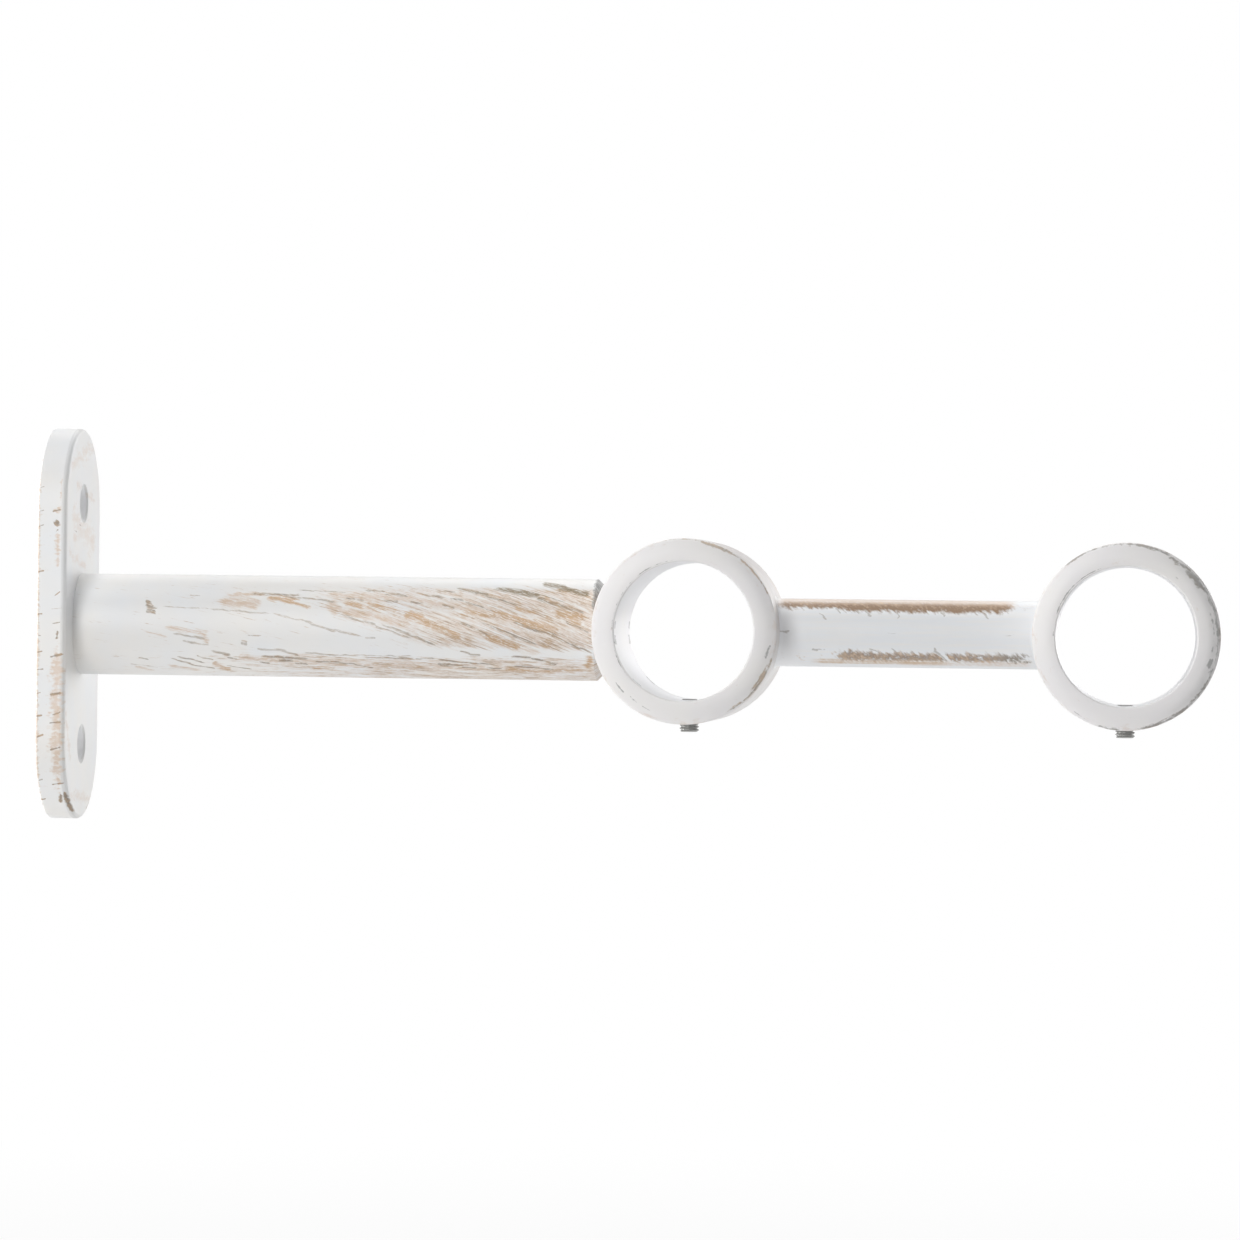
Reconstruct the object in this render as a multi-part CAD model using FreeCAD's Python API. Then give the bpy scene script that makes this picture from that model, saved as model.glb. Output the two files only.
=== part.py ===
import FreeCAD, Part
import math
import os

from FreeCAD import Vector

# Double curtain pole bracket with two closed rings, in millimetres.
# The origin is the centre of the wall plate's back face, on the wall.
# +X runs out from the wall along the arm, +Y along the poles and +Z up.
# The poles pass right through the rings, and a grub screw in the bottom of each ring holds its pole.

# Wall plate: an upright flat bar with half-round ends
plate_height = 60.0
plate_width = 25.0
plate_thickness = 4.5
plate_front_round = 0.6
plate_back_round = 0.3
wall_hole_diameter = 5.5
wall_hole_spacing = 37.0
wall_hole_edge_break = 0.3

# Arm: a thick round stem to the inner ring and a thinner round neck to the outer ring
inner_reach = 98.5
ring_spacing = 66.0
stem_diameter = 15.5
stem_bevel = 2.0
stem_bevel_gap = 0.15
neck_diameter = 10.3
neck_weld = 0.5

# Rings: two equal lengths of thick tube, with end faces that fall away towards the outside
ring_bore_diameter = 21.0
ring_wall = 3.5
ring_depth = 25.0
ring_face_flat = 0.6
ring_crown_drop = 0.9
ring_outer_round = 0.5
ring_bore_round = 0.25

# Grub screw in the bottom of each ring, with a hexagon socket in its outer end
grub_diameter = 3.0
grub_point_diameter = 2.2
grub_point_length = 0.4
grub_end_chamfer = 0.25
grub_socket_across_flats = 1.5
grub_socket_depth = 2.0
grub_stands_in = 0.2
grub_stands_out = 1.3
grub_thread_clearance = 0.05

# Countersunk screw that draws the stem against the plate from behind
plate_screw_diameter = 6.0
plate_screw_head_diameter = 11.0
plate_screw_length = 16.0
plate_screw_recess = 0.2
plate_screw_socket_across_flats = 4.0
plate_screw_socket_depth = 2.2
plate_screw_point_chamfer = 0.8
plate_screw_hole_clearance = 0.2
plate_screw_thread_clearance = 0.05
plate_screw_drill_point = 2.0

# Places that follow from the sizes above
outer_reach = inner_reach + ring_spacing
ring_bore_radius = ring_bore_diameter / 2
ring_outer_radius = ring_bore_radius + ring_wall
stem_radius = stem_diameter / 2
neck_radius = neck_diameter / 2
grub_radius = grub_diameter / 2
grub_tip_z = grub_stands_in - ring_bore_radius
grub_outer_end_z = -ring_outer_radius - grub_stands_out

ALONG_ARM = Vector(1, 0, 0)
ALONG_POLE = Vector(0, 1, 0)
UP = Vector(0, 0, 1)

# How close a point has to lie to count as on a surface, and how far a cut runs past the metal
HAIR = 0.01
CUT_PAST = 1.0


def bar(radius, start, end):
    """A round bar on the arm's axis from start to end."""
    return Part.makeCylinder(radius, end - start, Vector(start, 0, 0), ALONG_ARM)


def taper(start_radius, end_radius, start, end):
    """A cone on the arm's axis from start to end."""
    return Part.makeCone(start_radius, end_radius, end - start, Vector(start, 0, 0), ALONG_ARM)


def hexagon(across_flats, centre, direction, depth):
    """A six-sided prism that starts at centre and runs along direction."""
    corner_radius = across_flats / math.sqrt(3)
    corners = []
    for number in range(7):
        angle = math.radians(60 * number)
        corners.append(Vector(corner_radius * math.cos(angle), corner_radius * math.sin(angle), 0))
    prism = Part.Face(Part.makePolygon(corners)).extrude(Vector(0, 0, depth))
    prism.Placement = FreeCAD.Placement(centre, FreeCAD.Rotation(UP, direction))
    return prism


def round_edges(shape, chosen, radius):
    """Round the edges of shape that chosen picks."""
    edges = [edge for edge in shape.Edges if chosen(edge)]
    return shape.makeFillet(radius, edges)


def plate_outline(x):
    """The plate's upright outline with half-round ends, in the plane at x."""
    half_width = plate_width / 2
    arc_centre = (plate_height - plate_width) / 2
    right_low = Vector(x, half_width, -arc_centre)
    right_high = Vector(x, half_width, arc_centre)
    left_high = Vector(x, -half_width, arc_centre)
    left_low = Vector(x, -half_width, -arc_centre)
    top = Vector(x, 0, plate_height / 2)
    bottom = Vector(x, 0, -plate_height / 2)
    edges = [
        Part.makeLine(right_low, right_high),
        Part.Arc(right_high, top, left_high).toShape(),
        Part.makeLine(left_high, left_low),
        Part.Arc(left_low, bottom, right_low).toShape(),
    ]
    return Part.Wire(edges)


def plate_screw_seat(front):
    """The space a countersunk screw needs in the plate, up to front: cone, then clearance hole."""
    hole_radius = plate_screw_diameter / 2 + plate_screw_hole_clearance
    mouth_radius = plate_screw_head_diameter / 2 + plate_screw_recess
    sink = taper(mouth_radius, hole_radius, 0, mouth_radius - hole_radius)
    return sink.fuse(bar(hole_radius, 0, front))


def wall_plate():
    """The flat plate with two wall screw holes and the countersunk seat behind the stem."""
    plate = Part.Face(plate_outline(0)).extrude(Vector(plate_thickness, 0, 0))

    def at_front(edge):
        return edge.BoundBox.XMin > plate_thickness - HAIR

    def at_back(edge):
        return edge.BoundBox.XMax < HAIR

    plate = round_edges(plate, at_front, plate_front_round)
    plate = round_edges(plate, at_back, plate_back_round)
    hole_radius = wall_hole_diameter / 2
    mouth_radius = hole_radius + wall_hole_edge_break
    for side in (-1, 1):
        centre = Vector(0, 0, side * wall_hole_spacing / 2)
        hole = Part.makeCylinder(hole_radius, plate_thickness, centre, ALONG_ARM)
        rim = Part.makeCone(
            hole_radius,
            mouth_radius,
            wall_hole_edge_break,
            centre + Vector(plate_thickness - wall_hole_edge_break, 0, 0),
            ALONG_ARM,
        )
        plate = plate.cut(hole.fuse(rim))
    return plate.cut(plate_screw_seat(plate_thickness))


def plate_screw():
    """The countersunk screw, a little below the plate's back so that the plate sits flat."""
    head_radius = plate_screw_head_diameter / 2
    shank_radius = plate_screw_diameter / 2
    start = plate_screw_recess
    end = start + plate_screw_length
    head = taper(head_radius, shank_radius, start, start + head_radius - shank_radius)
    chamfer = plate_screw_point_chamfer
    shank = bar(shank_radius, start, end - chamfer)
    point = taper(shank_radius, shank_radius - chamfer, end - chamfer, end)
    socket = hexagon(
        plate_screw_socket_across_flats,
        Vector(start, 0, 0),
        ALONG_ARM,
        plate_screw_socket_depth,
    )
    return head.fuse([shank, point]).removeSplitter().cut(socket)


def stem():
    """The thick bar from the plate to the inner ring, bevelled and cut to sit round the ring."""
    bevel_start = inner_reach - ring_outer_radius - stem_bevel_gap
    bevel_end = bevel_start + stem_bevel
    body = bar(stem_radius, plate_thickness, bevel_start)
    bevel = taper(stem_radius, stem_radius - stem_bevel, bevel_start, bevel_end)
    end = bar(stem_radius - stem_bevel, bevel_end, inner_reach)
    tapped_radius = plate_screw_diameter / 2 + plate_screw_thread_clearance
    screw_end = plate_screw_recess + plate_screw_length
    tapped = bar(tapped_radius, plate_thickness, screw_end)
    drilled = taper(tapped_radius, 0, screw_end, screw_end + plate_screw_drill_point)
    solid = body.fuse([bevel, end]).removeSplitter()
    return solid.cut(ring_seat(inner_reach)).cut(tapped.fuse(drilled))


def ring_round(x, radius, depth):
    """A round bar along the poles' direction, centred on the arm's axis at x."""
    return Part.makeCylinder(radius, depth, Vector(x, -depth / 2, 0), ALONG_POLE)


def ring_seat(x):
    """The round of the ring at x, made wider than the bars that are cut to sit against it."""
    return ring_round(x, ring_outer_radius, ring_depth + stem_diameter)


def ring_wall_face(x):
    """The ring's wall cut along the poles, flat beside the bore and crowned out to the rim."""
    half_depth = ring_depth / 2
    crown_width = ring_wall - ring_face_flat
    crown_radius = (crown_width**2 + ring_crown_drop**2) / (2 * ring_crown_drop)
    half_turn = math.asin(crown_width / crown_radius) / 2
    flat_end = ring_bore_radius + ring_face_flat
    crown_middle = flat_end + crown_radius * math.sin(half_turn)
    middle_drop = crown_radius * (1 - math.cos(half_turn))

    def at(radius, y):
        return Vector(x + radius, y, 0)

    def crown(side):
        return Part.Arc(
            at(flat_end, side * half_depth),
            at(crown_middle, side * (half_depth - middle_drop)),
            at(ring_outer_radius, side * (half_depth - ring_crown_drop)),
        ).toShape()

    edges = [
        Part.makeLine(at(ring_bore_radius, -half_depth), at(ring_bore_radius, half_depth)),
        Part.makeLine(at(ring_bore_radius, half_depth), at(flat_end, half_depth)),
        crown(1),
        Part.makeLine(
            at(ring_outer_radius, half_depth - ring_crown_drop),
            at(ring_outer_radius, ring_crown_drop - half_depth),
        ),
        crown(-1),
        Part.makeLine(at(flat_end, -half_depth), at(ring_bore_radius, -half_depth)),
    ]
    return Part.Face(Part.Wire(Part.__sortEdges__(edges)))


def ring(x):
    """A ring centred at x, with rounded ends and a tapped hole through the bottom of its wall."""
    tube = ring_wall_face(x).revolve(Vector(x, 0, 0), ALONG_POLE, 360)

    def round_of(edge, radius):
        return isinstance(edge.Curve, Part.Circle) and abs(edge.Curve.Radius - radius) < HAIR

    def outer_end(edge):
        return round_of(edge, ring_outer_radius)

    def bore_end(edge):
        return round_of(edge, ring_bore_radius)

    tube = round_edges(tube, outer_end, ring_outer_round)
    tube = round_edges(tube, bore_end, ring_bore_round)
    tapped_radius = grub_radius + grub_thread_clearance
    tapped_depth = ring_outer_radius + CUT_PAST
    tapped = Part.makeCylinder(tapped_radius, tapped_depth, Vector(x, 0, -tapped_depth), UP)
    return tube.cut(tapped)


def neck_rod():
    """The thin bar between the rings, with a small weld run blended into each ring's wall."""
    rod = bar(neck_radius, inner_reach, outer_reach)
    seats = ring_seat(inner_reach).fuse(ring_seat(outer_reach))
    joined = rod.fuse(seats).removeSplitter()

    def weld_line(edge):
        middle = edge.valueAt((edge.FirstParameter + edge.LastParameter) / 2)
        from_arm = math.hypot(middle.y, middle.z)
        from_inner = math.hypot(middle.x - inner_reach, middle.z)
        from_outer = math.hypot(middle.x - outer_reach, middle.z)
        from_pole = min(from_inner, from_outer)
        return abs(from_arm - neck_radius) < HAIR and abs(from_pole - ring_outer_radius) < HAIR

    return round_edges(joined, weld_line, neck_weld).cut(seats)


def grub_screw(x):
    """The headless screw of the ring at x, point up, backed off so that a pole slides through."""
    shoulder_z = grub_tip_z - grub_point_length
    rim_z = grub_outer_end_z + grub_end_chamfer
    point = Part.makeCone(
        grub_radius,
        grub_point_diameter / 2,
        grub_point_length,
        Vector(x, 0, shoulder_z),
        UP,
    )
    body = Part.makeCylinder(grub_radius, shoulder_z - rim_z, Vector(x, 0, rim_z), UP)
    rim = Part.makeCone(
        grub_radius - grub_end_chamfer,
        grub_radius,
        grub_end_chamfer,
        Vector(x, 0, grub_outer_end_z),
        UP,
    )
    mouth = Vector(x, 0, grub_outer_end_z)
    socket = hexagon(grub_socket_across_flats, mouth, UP, grub_socket_depth)
    return body.fuse([point, rim]).removeSplitter().cut(socket)


def main():
    nodes = {
        "wall_plate": wall_plate(),
        "plate_screw": plate_screw(),
        "stem": stem(),
        "inner_ring": ring(inner_reach),
        "neck_rod": neck_rod(),
        "outer_ring": ring(outer_reach),
        "inner_grub_screw": grub_screw(inner_reach),
        "outer_grub_screw": grub_screw(outer_reach),
    }
    os.makedirs("parts", exist_ok=True)
    for name, shape in nodes.items():
        if len(shape.Solids) != 1 or not shape.isValid():
            raise ValueError(name + " is not one valid solid")
        shape.Solids[0].exportStep("parts/" + name + ".step")
        print(name, round(shape.Volume, 2), "cubic millimetres")


main()
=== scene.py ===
"""Looks for the curtain pole bracket: brushed-off white paint over bronze, steel screws, studio light."""

import math

import bmesh
import bpy
from mathutils import Matrix, Vector


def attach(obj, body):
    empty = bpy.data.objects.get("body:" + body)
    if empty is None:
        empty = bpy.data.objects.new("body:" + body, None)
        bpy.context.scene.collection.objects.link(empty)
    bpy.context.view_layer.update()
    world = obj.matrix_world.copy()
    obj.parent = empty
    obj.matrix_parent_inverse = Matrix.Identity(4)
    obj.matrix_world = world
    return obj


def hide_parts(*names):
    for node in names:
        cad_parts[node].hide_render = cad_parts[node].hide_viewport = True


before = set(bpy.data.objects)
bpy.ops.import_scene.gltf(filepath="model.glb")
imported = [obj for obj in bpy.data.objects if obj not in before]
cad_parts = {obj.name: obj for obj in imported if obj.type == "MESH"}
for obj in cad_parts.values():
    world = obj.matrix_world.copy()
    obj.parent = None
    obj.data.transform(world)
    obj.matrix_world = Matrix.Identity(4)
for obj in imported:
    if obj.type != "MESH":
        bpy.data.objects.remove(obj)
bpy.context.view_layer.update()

MM = 0.001

# Sizes of the bracket that the paint and the screws follow, in millimetres
STEM_RADIUS = 7.75
STEM_END = 84.3
NECK_RADIUS = 5.15
RING_OUTER_RADIUS = 14.0
RING_BORE_RADIUS = 10.5
RING_DEPTH = 25.0
RING_CROWN_DROP = 0.9
INNER_REACH = 98.5
OUTER_REACH = 164.5
PLATE_HEIGHT = 60.0
PLATE_WIDTH = 25.0
PLATE_THICKNESS = 4.5
WALL_HOLE_RADIUS = 2.75
WALL_HOLE_HEIGHT = 18.5

# Screws, in millimetres. A grub screw's tip and outer end are heights from the arm's middle line
GRUB_RADIUS = 1.5
GRUB_POINT_RADIUS = 1.1
GRUB_POINT_LENGTH = 0.4
GRUB_END_CHAMFER = 0.25
GRUB_PITCH = 0.5
GRUB_TIP_Z = -10.3
GRUB_OUTER_END_Z = -15.3
GRUB_SOCKET_ACROSS_FLATS = 1.5
GRUB_SOCKET_DEPTH = 2.0
PLATE_SCREW_RADIUS = 3.0
PLATE_SCREW_PITCH = 1.0
PLATE_SCREW_HEAD_RADIUS = 5.5
PLATE_SCREW_RECESS = 0.2
PLATE_SCREW_LENGTH = 16.0
PLATE_SCREW_PLAIN_NECK = 0.6
PLATE_SCREW_THREAD_CHAMFER = 0.3
PLATE_SCREW_POINT_CHAMFER = 0.8
PLATE_SCREW_SOCKET_ACROSS_FLATS = 4.0
PLATE_SCREW_SOCKET_DEPTH = 2.2

# A thread's depth, flat root and flat crest, as shares of its pitch
THREAD_DEPTH = 0.55
THREAD_ROOT = 1 / 8
THREAD_CREST = 1 / 16
# Where a thread starts below the rod's foot, in pitches, so that no corner lies on a flat end
THREAD_START = 1.0117
# Sides of a round cylinder and steps in a thread's turn
ROUND_SIDES = 64
THREAD_STEPS = 32
# How far a cutter or a joined shank reaches past the faces that it meets, in millimetres
CUTTER_OVERSHOOT = 1.0
SHANK_OVERLAP = 0.05
# How near each other corners are merged along a thread's seam and over the rod, and how exactly it is cut
SEAM_MERGE = 0.001
ROD_MERGE = 0.002
CUT_EXACTNESS = 0.0001
# The steepest turn between two faces, in degrees, that is still shaded round
SMOOTH_ANGLE = 28

# The camera stands in front of the outer ring and looks a little towards the wall plate. Its place is in
# metres, its turns in radians, and its sensor and lens in millimetres
CAMERA_PLACE = (0.16457, -0.76444, 0.0022)
CAMERA_YAW = -0.10023
CAMERA_PITCH = -0.00081
CAMERA_ROLL = 0.01213
CAMERA_SENSOR = 36.0
CAMERA_LENS = 146.33
CAMERA_NEAR = 0.01
CAMERA_FAR = 50.0

# The studio, in metres: even light from all round, and a floor whose soft shadow fades out to white
WHITE = (1, 1, 1, 1)
FLOOR_GREY = (0.9, 0.9, 0.9, 1)
AMBIENT_STRENGTH = 0.1
FLOOR_HEIGHT = -0.13
FLOOR_SIZE = 6.0
FLOOR_SHADOW_SHARE = 0.3
FLOOR_GLOW = 0.15
FLOOR_FADE_START = 0.2
FLOOR_FADE_END = 0.5
# Lamps by name, with their azimuth from the front towards the right, elevation, distance, width, height
# and power
LAMP_TARGET = Vector((0.09, 0.0, 0.0))
LAMPS = [
    ("front_strip", -19.0, 5.0, 0.9, 0.3, 1.0, 4.8),
    ("left_box", -92.0, 5.0, 0.9, 0.5, 0.5, 7.4),
    ("overhead_box", 0.0, 80.0, 0.9, 0.5, 0.5, 3.0),
    ("right_rear_box", 145.0, 10.0, 0.9, 0.5, 0.5, 3.2),
    ("top_rear_box", 180.0, 50.0, 0.9, 0.5, 0.5, 2.3),
]

# Colours of the finish, from white paint to the bronze and dark metal under it
WARM_PAINT = (0.825, 0.81, 0.785, 1)
COOL_PAINT = (0.78, 0.80, 0.825, 1)
LILAC_PAINT = (0.80, 0.785, 0.79, 1)
# A brighter white, painted light on paint that lies in shade: the plate's holes, the rings' bores, the neck
# by the inner ring
PAINTED_LIGHT_WHITE = (0.9, 0.905, 0.92, 1)
THIN_PAINT = (0.65, 0.545, 0.47, 1)
# Dull paint, also painted shade on the top of the rings' barrels and on the plate's rear face
DULL_PAINT_AND_SHADE = (0.47, 0.44, 0.43, 1)
PALE_BRONZE = (0.585, 0.44, 0.315, 1)
GILT = (0.57, 0.38, 0.23, 1)
GOLD = (0.48, 0.33, 0.2, 1)
RUSSET = (0.235, 0.15, 0.09, 1)
BROWN = (0.25, 0.185, 0.14, 1)
DEEP_BROWN = (0.19, 0.145, 0.105, 1)
UMBER = (0.2, 0.155, 0.09, 1)
OLIVE_BROWN = (0.27, 0.235, 0.195, 1)
GREY_METAL = (0.26, 0.26, 0.255, 1)
DARK_SCREW_STEEL = (0.42, 0.42, 0.41, 1)
ZINC = (0.62, 0.63, 0.65, 1)
SOOT = (0.16, 0.16, 0.155, 1)

# The surface of the paint, of the metal under it and of the screws. A bump's height is in millimetres,
# and the paint's unevenness and how deep its worn places lie are shares of it
PAINT_ROUGHNESS = 0.38
PAINT_ROUGHNESS_DRIFT = 0.08
BARE_ROUGHNESS = 0.5
BARE_METALLIC = 0.2
PAINT_GRAIN = 1.1
PAINT_BUMP_STRENGTH = 0.25
PAINT_BUMP_HEIGHT = 0.05
PAINT_UNEVENNESS = 0.35
WORN_DEPTH = 0.5
STEEL_ROUGHNESS = 0.32
STEEL_BUMP_STRENGTH = 0.3
STEEL_BUMP_HEIGHT = 0.02
# How much of a brush stroke's length stays at full width: higher keeps its ends blunter
STROKE_BLUNTNESS = 2.5
# Noise mostly keeps within a seventh of its middle value, so this swings it from -1 to 1
NOISE_SWING = 7.0


class Field:
    """A value, colour or vector that varies over a surface, with arithmetic on values."""

    def __init__(self, tree, socket=None):
        self.tree = tree
        self.socket = socket

    def node(self, kind, settings=None, inputs=None, output=0):
        """Any node: its type, its settings, which are set first, then what goes into its sockets."""
        made = self.tree.nodes.new(kind)
        for name, value in (settings or {}).items():
            setattr(made, name, value)
        for name, value in (inputs or {}).items():
            if isinstance(value, Field):
                self.tree.links.new(value.socket, made.inputs[name])
            else:
                made.inputs[name].default_value = value
        return Field(self.tree, made.outputs[output])

    def math(self, operation, first, second=0.0):
        return self.node("ShaderNodeMath", {"operation": operation}, {0: first, 1: second})

    def __add__(self, other):
        return self.math("ADD", self, other)

    def __radd__(self, other):
        return self.math("ADD", other, self)

    def __sub__(self, other):
        return self.math("SUBTRACT", self, other)

    def __rsub__(self, other):
        return self.math("SUBTRACT", other, self)

    def __mul__(self, other):
        return self.math("MULTIPLY", self, other)

    def __rmul__(self, other):
        return self.math("MULTIPLY", other, self)

    def __neg__(self):
        return self.math("MULTIPLY", self, -1.0)

    def __abs__(self):
        return self.math("ABSOLUTE", self)

    def most(self, other):
        return self.math("MAXIMUM", self, other)

    def least(self, other):
        return self.math("MINIMUM", self, other)

    def across_from(self, other):
        """The long side of a square-cornered triangle whose short sides are this value and another."""
        return self.math("SQRT", self * self + other * other)

    def turn_from(self, across):
        """The angle whose tangent is this value over another."""
        return self.math("ARCTAN2", self, across)

    def smooth(self, low, high):
        """From 0 where the value is low to 1 where it is high, with a soft start and end."""
        return self.node(
            "ShaderNodeMapRange",
            {"interpolation_type": "SMOOTHSTEP"},
            {"Value": self, "From Min": low, "From Max": high},
        )

    def between(self, low, high, soft):
        """1 from low to high, falling to 0 over soft outside them."""
        return self.smooth(low - soft, low) * self.smooth(high + soft, high)

    def blend(self, first, second):
        """The colour first where this value is 0 and second where it is 1."""
        return self.node(
            "ShaderNodeMix",
            {"data_type": "RGBA", "clamp_factor": True},
            {0: self, 6: first, 7: second},
            output=2,
        )

    def parts(self):
        """The three values of a vector."""
        return [self.node("ShaderNodeSeparateXYZ", None, {0: self}, output=axis) for axis in range(3)]

    def joined(self, x, y, z):
        """A vector of three values."""
        return self.node("ShaderNodeCombineXYZ", None, {0: x, 1: y, 2: z})

    def scaled(self, x, y, z):
        """The vector with each part multiplied."""
        return self.node("ShaderNodeVectorMath", {"operation": "MULTIPLY"}, {0: self, 1: (x, y, z)})

    def along(self, direction):
        """How far the vector reaches in a direction, times that direction's length."""
        return self.node(
            "ShaderNodeVectorMath",
            {"operation": "DOT_PRODUCT"},
            {0: self, 1: direction},
            output="Value",
        )

    def noise(self, detail=2.0, roughness=0.5):
        """Cloudy noise from 0 to 1 over the vector, one cloud to a unit."""
        return self.node(
            "ShaderNodeTexNoise",
            {"noise_dimensions": "3D"},
            {"Vector": self, "Scale": 1.0, "Detail": detail, "Roughness": roughness},
        )

    def swing(self, detail=2.0, roughness=0.5):
        """The same noise swung about 0, from -1 to 1 in most places."""
        return (self.noise(detail, roughness) - 0.5) * NOISE_SWING

    def bump(self, strength, height):
        """The surface's direction when this value raises it by up to a height in millimetres."""
        return self.node(
            "ShaderNodeBump",
            None,
            {"Strength": strength, "Distance": height * MM, "Height": self},
        )


def start_material(name):
    """A new material with one shader: its name, tree, shader and the place on the piece in millimetres."""
    material = bpy.data.materials.new(name)
    material.use_nodes = True
    tree = material.node_tree
    shader = tree.nodes["Principled BSDF"]
    place = Field(tree).node("ShaderNodeTexCoord", output="Object").scaled(1 / MM, 1 / MM, 1 / MM)
    return material, tree, shader, place


def feed(tree, shader, **fields):
    """Link fields into the shader's sockets, named with underscores for spaces."""
    for name, field in fields.items():
        tree.links.new(field.socket, shader.inputs[name.replace("_", " ")])


def seen_directly(start):
    """1 for rays from the camera, a glossy surface or a clear one, and 0 for the rest."""
    camera = start.node("ShaderNodeLightPath", output="Is Camera Ray")
    glossy = start.node("ShaderNodeLightPath", output="Is Glossy Ray")
    clear = start.node("ShaderNodeLightPath", output="Is Transmission Ray")
    return (camera + glossy + clear).least(1.0)


def add_camera():
    """The view along the poles, with the bracket's arm across the picture."""
    forward = Vector((
        math.sin(CAMERA_YAW) * math.cos(CAMERA_PITCH),
        math.cos(CAMERA_YAW) * math.cos(CAMERA_PITCH),
        math.sin(CAMERA_PITCH),
    ))
    level = Vector((math.cos(CAMERA_YAW), -math.sin(CAMERA_YAW), 0))
    upright = level.cross(forward)
    right = level * math.cos(CAMERA_ROLL) + upright * math.sin(CAMERA_ROLL)
    up = upright * math.cos(CAMERA_ROLL) - level * math.sin(CAMERA_ROLL)
    turn = Matrix((right, up, -forward)).transposed().to_4x4()
    data = bpy.data.cameras.new("camera")
    data.sensor_width = CAMERA_SENSOR
    data.lens = CAMERA_LENS
    data.clip_start = CAMERA_NEAR
    data.clip_end = CAMERA_FAR
    camera = bpy.data.objects.new("camera", data)
    bpy.context.scene.collection.objects.link(camera)
    camera.matrix_world = Matrix.Translation(CAMERA_PLACE) @ turn
    bpy.context.scene.camera = camera


def add_world():
    """Even light from all round, and plain white where the camera, gloss or glass looks past the bracket."""
    world = bpy.data.worlds.new("studio")
    bpy.context.scene.world = world
    world.use_nodes = True
    tree = world.node_tree
    start = Field(tree)
    light = start.node("ShaderNodeBackground", None, {"Color": WHITE, "Strength": AMBIENT_STRENGTH})
    white = start.node("ShaderNodeBackground", None, {"Color": WHITE, "Strength": 1.0})
    shown = start.node("ShaderNodeMixShader", None, {0: seen_directly(start), 1: light, 2: white})
    tree.links.new(shown.socket, tree.nodes["World Output"].inputs["Surface"])


def add_floor():
    """A pale floor below the bracket that keeps its soft shadow, and is clear from underneath."""
    bpy.ops.mesh.primitive_plane_add(size=FLOOR_SIZE, location=(LAMP_TARGET.x, 0, FLOOR_HEIGHT))
    floor = bpy.context.active_object
    floor.name = "floor"
    material = bpy.data.materials.new("pale_floor")
    material.use_nodes = True
    tree = material.node_tree
    tree.nodes.clear()
    start = Field(tree)
    matt = start.node("ShaderNodeBsdfDiffuse", None, {"Color": FLOOR_GREY})
    white = start.node("ShaderNodeEmission", None, {"Color": WHITE, "Strength": 1.0})
    x, y = start.node("ShaderNodeTexCoord", output="Object").parts()[:2]
    near = x.across_from(y).smooth(FLOOR_FADE_END, FLOOR_FADE_START)
    share = (seen_directly(start) * (1 - near * FLOOR_SHADOW_SHARE)).most(FLOOR_GLOW)
    top = start.node("ShaderNodeMixShader", None, {0: share, 1: matt, 2: white})
    underneath = start.node("ShaderNodeNewGeometry", output="Backfacing")
    clear = start.node("ShaderNodeBsdfTransparent")
    shown = start.node("ShaderNodeMixShader", None, {0: underneath, 1: top, 2: clear})
    output = tree.nodes.new("ShaderNodeOutputMaterial")
    tree.links.new(shown.socket, output.inputs["Surface"])
    floor.data.materials.append(material)


def add_lamps():
    """Large soft lamps that all face the middle of the bracket."""
    for name, azimuth, elevation, distance, width, height, power in LAMPS:
        data = bpy.data.lights.new(name, "AREA")
        data.shape = "RECTANGLE"
        data.size = width
        data.size_y = height
        data.energy = power
        lamp = bpy.data.objects.new(name, data)
        bpy.context.scene.collection.objects.link(lamp)
        turn = math.radians(azimuth)
        rise = math.radians(elevation)
        away = Vector((
            math.sin(turn) * math.cos(rise),
            -math.cos(turn) * math.cos(rise),
            math.sin(rise),
        ))
        lamp.location = LAMP_TARGET + away * distance
        lamp.rotation_euler = away.to_track_quat("Z", "Y").to_euler()


def worn_strokes(spot, strokes):
    """How far inside a brush stroke a place is: its depth on the stroke's middle line, 0 at its edge.

    Each stroke runs from one place to another on the unrolled surface, with its width and its depth."""
    inside = None
    for start_x, start_v, end_x, end_v, width, depth in strokes:
        run = Vector((end_x - start_x, end_v - start_v))
        middle = Vector((end_x + start_x, end_v + start_v)) / 2
        along = run.normalized() * (2 / run.length)
        across = Vector((-run.y, run.x)).normalized() * (2 / width)
        reach = spot.along((along.x, along.y, 0)) - along.dot(middle)
        aside = abs(spot.along((across.x, across.y, 0)) - across.dot(middle))
        stroke = ((1 - reach * reach) * STROKE_BLUNTNESS).least(depth) - aside
        inside = stroke if inside is None else inside.most(stroke)
    return inside


def wandering(x, v, reach, rise):
    """The place on the unrolled surface, shifted a little so that strokes don't run dead straight."""
    slow = x.joined(x * 0.3, v * 0.8, 12.0)
    across = slow.scaled(1.7, 1.0, 1.0)
    return x.joined(x + slow.swing(detail=1.0) * reach, v + across.swing(detail=1.0) * rise, 0.0)


def unrolled(place, radius):
    """Place along a round bar and up round it from its middle line, alike on its front and back."""
    x, y, z = place.parts()
    return x, z.turn_from(abs(y)) * radius


def brushed(along, across, along_rate, across_rate, seed, detail=3.0, roughness=0.6):
    """Noise swung about 0 and drawn out by a brush: its rates are clouds to a millimetre along the brush's
    way and across it, and each seed gives another pattern."""
    return along.joined(along * along_rate, across * across_rate, seed).swing(detail, roughness)


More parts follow.
